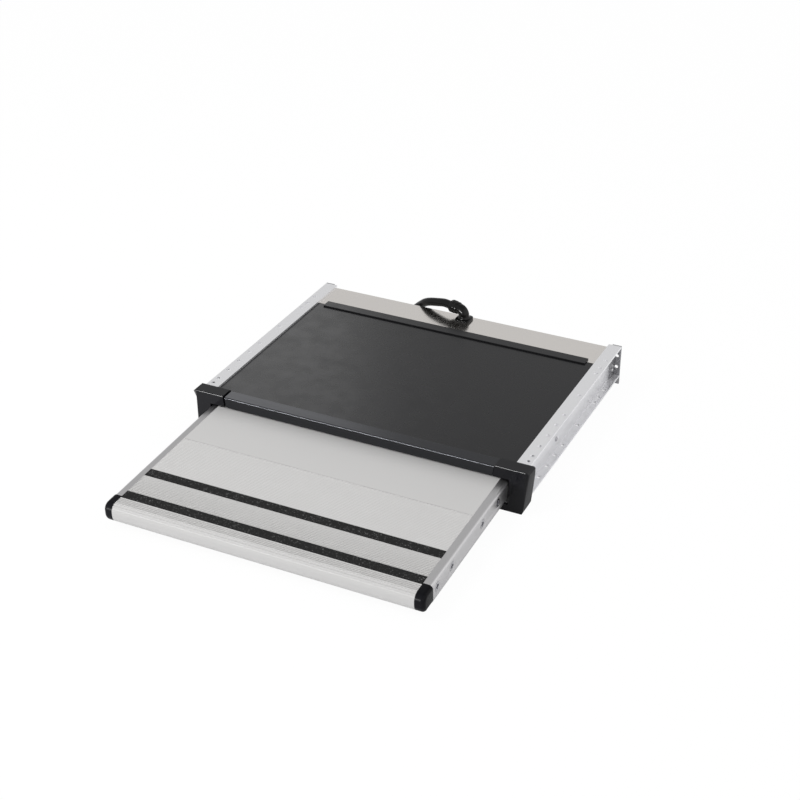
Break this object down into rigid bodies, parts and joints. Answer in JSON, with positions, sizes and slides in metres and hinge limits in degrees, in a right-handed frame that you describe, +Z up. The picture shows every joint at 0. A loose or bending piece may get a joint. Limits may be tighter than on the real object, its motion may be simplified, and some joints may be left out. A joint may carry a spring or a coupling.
{
  "type": "pull out entrance step",
  "caption": "Flat powered entrance step for a caravan or camper: a bolt-up housing with a ribbed aluminium tread that slides out on racks, and a conduit-fed motor.",
  "frame": {"origin": "on the ground, at the middle of the length and width of the step with its tread out, the supply conduit left aside", "axes": "+X to the right seen from in front, +Y to the rear, away from the person who steps up, +Z up"},
  "size_m": [0.451, 0.598, 0.0767],
  "materials": {
    "rail_aluminium": "mill finish, satin",
    "bracket_plastic": "gloss black",
    "bezel_aluminium": "black anodised, satin",
    "rubber": "matt",
    "plate_black": "black coated, satin",
    "trim_black": "satin",
    "cover_steel": "bright rolled",
    "zinc_steel": "zinc plated",
    "rivet_steel": "bright",
    "screw_steel": "bright",
    "guide_plastic": "satin",
    "glide_plastic": "satin",
    "cast_alloy": "cast",
    "bush_bronze": "sintered",
    "belt_rubber": "matt, moulded teeth",
    "motor_steel": "zinc plated",
    "gearbox_alloy": "cast",
    "box_plastic": "fine grain",
    "lead_sheath": "satin",
    "conduit_plastic": "satin",
    "plug_plastic": "satin",
    "deck_aluminium": "natural anodised",
    "side_aluminium": "grey anodised, satin",
    "cap_plastic": "satin black",
    "grip_black": "gritty anti-slip tape",
    "rack_steel": "oiled steel",
    "magnet_dark": "plain",
    "shaft_steel": "ground",
    "pulley_alloy": "machined"
  },
  "bodies": {
    "housing": {"left_rail": "rail_aluminium", "right_rail": "rail_aluminium", "left_bracket": "bracket_plastic", "right_bracket": "bracket_plastic", "bezel": "bezel_aluminium", "wiper_seal": "rubber", "top_plate": "plate_black", "rear_trim_strip": "trim_black", "motor_cover": "cover_steel", "base_plate": "zinc_steel", "base_rivets": "rivet_steel", "left_rear_bracket": "zinc_steel", "right_rear_bracket": "zinc_steel", "rear_rivets": "rivet_steel", "left_guide": "guide_plastic", "right_guide": "guide_plastic", "guide_screws": "screw_steel", "front_lower_glides": "glide_plastic", "front_upper_glides": "glide_plastic", "end_buffers": "rubber", "bearing_blocks": "cast_alloy", "shaft_bushes": "bush_bronze", "drive_belt": "belt_rubber", "motor": "motor_steel", "gearbox": "gearbox_alloy", "output_bearing": "cast_alloy", "motor_cradle": "zinc_steel", "control_box": "box_plastic", "control_box_lid": "box_plastic", "motor_lead": "lead_sheath", "supply_wires": "lead_sheath", "position_sensors": "box_plastic", "elbow_gasket": "rubber", "conduit_elbow": "conduit_plastic", "elbow_nut": "conduit_plastic", "conduit": "conduit_plastic", "plug": "plug_plastic"},
    "tread": {"front_plank": "deck_aluminium", "rear_plank": "deck_aluminium", "left_side_profile": "side_aluminium", "right_side_profile": "side_aluminium", "left_cap": "cap_plastic", "right_cap": "cap_plastic", "front_grip_strip": "grip_black", "rear_grip_strip": "grip_black", "tread_screws": "screw_steel", "tread_tie_bar": "deck_aluminium", "rear_glides": "glide_plastic", "left_rack": "rack_steel", "right_rack": "rack_steel", "sensor_magnet": "magnet_dark"},
    "cross_shaft_set": {"cross_shaft": "shaft_steel", "left_pinion": "rack_steel", "right_pinion": "rack_steel", "shaft_pulley": "pulley_alloy"},
    "motor_output": {"output_shaft": "shaft_steel", "motor_pulley": "pulley_alloy"}
  },
  "joints": [
    {"name": "tread_slide", "type": "slide", "parent": "housing", "child": "tread", "axis": [0, 0.9993, 0.0361], "range_m": [0, 0.205]},
    {"name": "cross_shaft_turn", "type": "hinge", "parent": "housing", "child": "cross_shaft_set", "pos_m": [0, -0.01516, 0.01918], "axis": [-1, 0, 0], "range_deg": [0, 2099]},
    {"name": "motor_output_turn", "type": "hinge", "parent": "housing", "child": "motor_output", "pos_m": [0, 0.2535, 0.0275], "axis": [-1, 0, 0], "range_deg": [0, 2099]}
  ],
  "couplings": [
    {"joint": "cross_shaft_turn", "follows": "tread_slide", "rad_per_m": 178.57},
    {"joint": "motor_output_turn", "follows": "tread_slide", "rad_per_m": 178.57}
  ]
}
